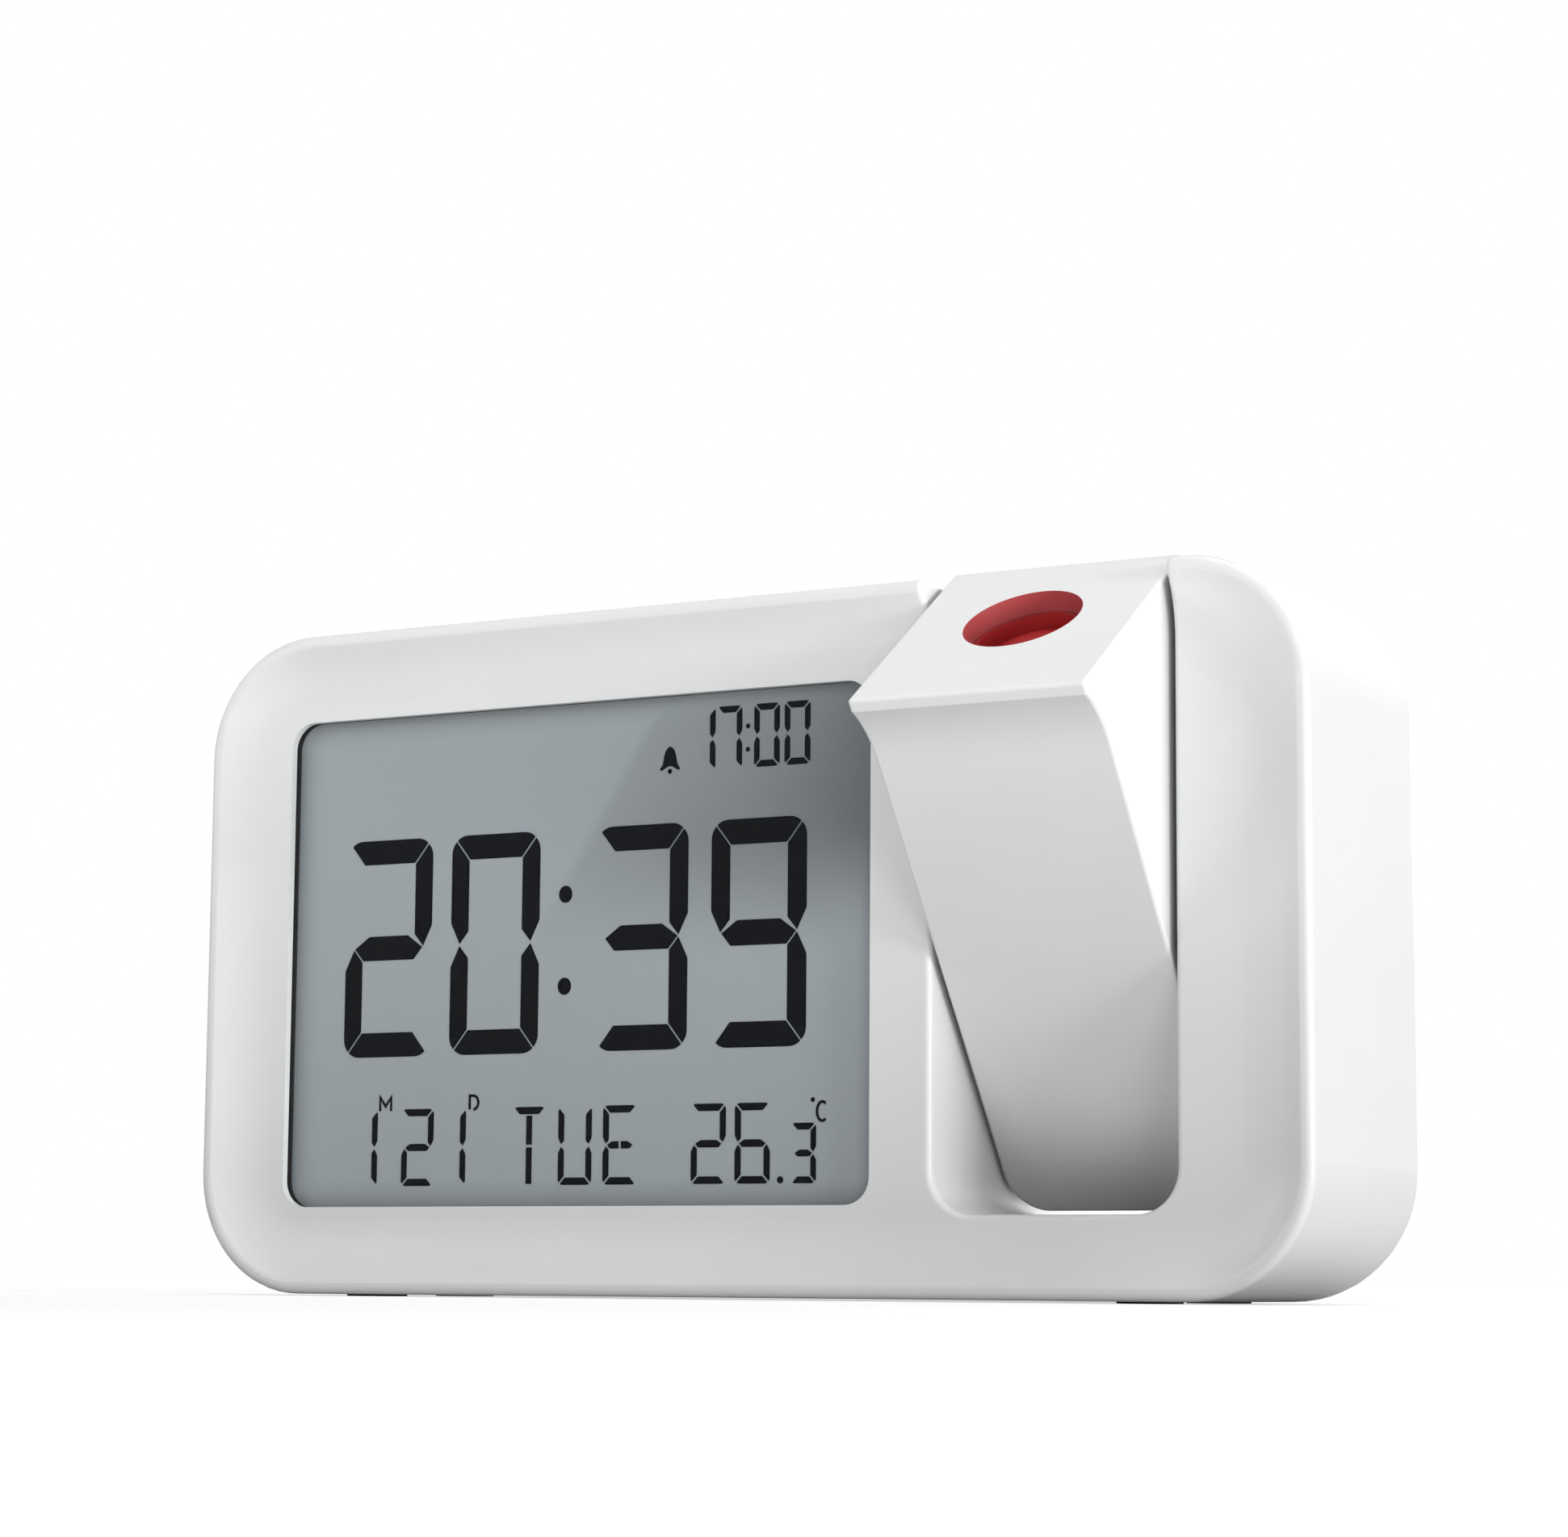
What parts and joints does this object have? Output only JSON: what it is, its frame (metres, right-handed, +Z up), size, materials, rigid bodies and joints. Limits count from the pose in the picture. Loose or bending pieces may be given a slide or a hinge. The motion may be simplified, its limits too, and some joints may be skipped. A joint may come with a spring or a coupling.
{
  "type": "projection alarm clock",
  "caption": "Digital alarm clock in a rounded white case, with a display in a dished front and a tilting projector arm in a slot beside it.",
  "frame": {"origin": "on the surface that the clock stands on, under the middle of the case's width and depth", "axes": "+X to the right of the display seen from the front, +Y to the back, +Z up"},
  "size_m": [0.16, 0.0711, 0.0899],
  "materials": {
    "white_shell": "fine matt moulded plastic",
    "arm_shell": "satin moulded plastic",
    "key_plastic": "satin moulded plastic",
    "clear_window": "polished clear acrylic",
    "lcd_glass": "grey-blue display glass",
    "frame_plastic": "natural moulded plastic",
    "light_guide": "clear acrylic",
    "white_film": "white reflector film",
    "lamp_package": "white lamp package",
    "dark_rubber": "matt black rubber",
    "grey_rubber": "matt grey rubber",
    "board_green": "green solder mask",
    "chip_black": "black moulded package",
    "ceramic_tan": "small ceramic parts",
    "black_plastic": "black moulded plastic",
    "steel": "zinc-plated steel",
    "bright_metal": "nickel-plated spring steel",
    "cell_wrap": "plain printed cell sleeve",
    "lead_sleeve": "red wire sleeve",
    "acetal": "natural acetal",
    "trunnion_metal": "turned aluminium",
    "optic_clear": "polished optical acrylic",
    "red_lens": "polished red-tinted lens",
    "red_lamp": "red lamp body"
  },
  "bodies": {
    "case": {"front_housing": "white_shell", "rear_housing": "white_shell", "display_window": "clear_window", "window_tape": "dark_rubber", "lcd_panel": "lcd_glass", "lcd_frame": "frame_plastic", "light_guide": "light_guide", "reflector_sheet": "white_film", "backlight_leds": "lamp_package", "zebra_strips": "grey_rubber", "display_screws": "steel", "main_board": "board_green", "main_board_screws": "steel", "controller_chip": "chip_black", "quartz_crystal": "bright_metal", "board_parts": "ceramic_tan", "board_header": "black_plastic", "snooze_switches": "black_plastic", "rear_board": "board_green", "rear_board_screws": "steel", "key_switches": "black_plastic", "slide_switch": "black_plastic", "power_socket": "steel", "buzzer": "black_plastic", "temperature_sensor": "chip_black", "feet": "grey_rubber", "case_screws": "steel", "battery_cells": "cell_wrap", "battery_springs": "bright_metal", "battery_contacts": "bright_metal", "battery_leads": "lead_sleeve", "left_pivot_bush": "acetal", "right_pivot_bush": "acetal", "friction_rings": "dark_rubber", "projector_lead": "lead_sleeve", "lead_plug": "acetal"},
    "projector_arm": {"arm_shell": "arm_shell", "arm_rear_cover": "arm_shell", "arm_screws": "steel", "left_trunnion": "trunnion_metal", "right_trunnion": "trunnion_metal", "retaining_clips": "bright_metal", "optics_tube": "black_plastic", "condenser_lens": "optic_clear", "slide_display": "lcd_glass", "projector_board": "board_green", "projector_led": "red_lamp", "arm_lead": "lead_sleeve"},
    "focus_wheel": {"focus_wheel": "key_plastic"},
    "lens_cell": {"lens_cell": "black_plastic", "projection_lens": "red_lens"},
    "snooze_bar": {"snooze_bar": "key_plastic"},
    "switch_knob": {"switch_knob": "key_plastic"},
    "battery_cover": {"battery_cover": "white_shell"},
    "key_mode": {"key_mode": "key_plastic"},
    "key_set": {"key_set": "key_plastic"},
    "key_up": {"key_up": "key_plastic"},
    "key_down": {"key_down": "key_plastic"},
    "key_alarm": {"key_alarm": "key_plastic"}
  },
  "joints": [
    {"name": "projector_tilt", "type": "hinge", "parent": "case", "child": "projector_arm", "pos_m": [0.04565, 0, 0.04655], "axis": [1, 0, 0], "range_deg": [-125.2, 54.8]},
    {"name": "focus_turn", "type": "hinge", "parent": "projector_arm", "child": "focus_wheel", "pos_m": [0.0557, -0.00609, 0.07774], "axis": [1, 0, 0], "range_deg": [-27.51, 27.51]},
    {"name": "lens_slide", "type": "slide", "parent": "projector_arm", "child": "lens_cell", "axis": [0, -0.5764, 0.8171], "range_m": [-0.0012, 0.0012]},
    {"name": "snooze_press", "type": "slide", "parent": "case", "child": "snooze_bar", "axis": [0, 0, -1], "range_m": [0, 0.0006], "stiffness_N_per_m": 900},
    {"name": "switch_slide", "type": "slide", "parent": "case", "child": "switch_knob", "axis": [1, 0, 0], "range_m": [-0.0015, 0.0015]},
    {"name": "battery_cover_off", "type": "slide", "parent": "case", "child": "battery_cover", "axis": [0, 1, 0], "range_m": [0, 0.02]},
    {"name": "key_mode_press", "type": "slide", "parent": "case", "child": "key_mode", "axis": [0, -1, 0], "range_m": [0, 0.0005], "stiffness_N_per_m": 700},
    {"name": "key_set_press", "type": "slide", "parent": "case", "child": "key_set", "axis": [0, -1, 0], "range_m": [0, 0.0005], "stiffness_N_per_m": 700},
    {"name": "key_up_press", "type": "slide", "parent": "case", "child": "key_up", "axis": [0, -1, 0], "range_m": [0, 0.0005], "stiffness_N_per_m": 700},
    {"name": "key_down_press", "type": "slide", "parent": "case", "child": "key_down", "axis": [0, -1, 0], "range_m": [0, 0.0005], "stiffness_N_per_m": 700},
    {"name": "key_alarm_press", "type": "slide", "parent": "case", "child": "key_alarm", "axis": [0, -1, 0], "range_m": [0, 0.0005], "stiffness_N_per_m": 700}
  ],
  "couplings": [
    {"joint": "focus_turn", "follows": "lens_slide", "rad_per_m": -400}
  ]
}
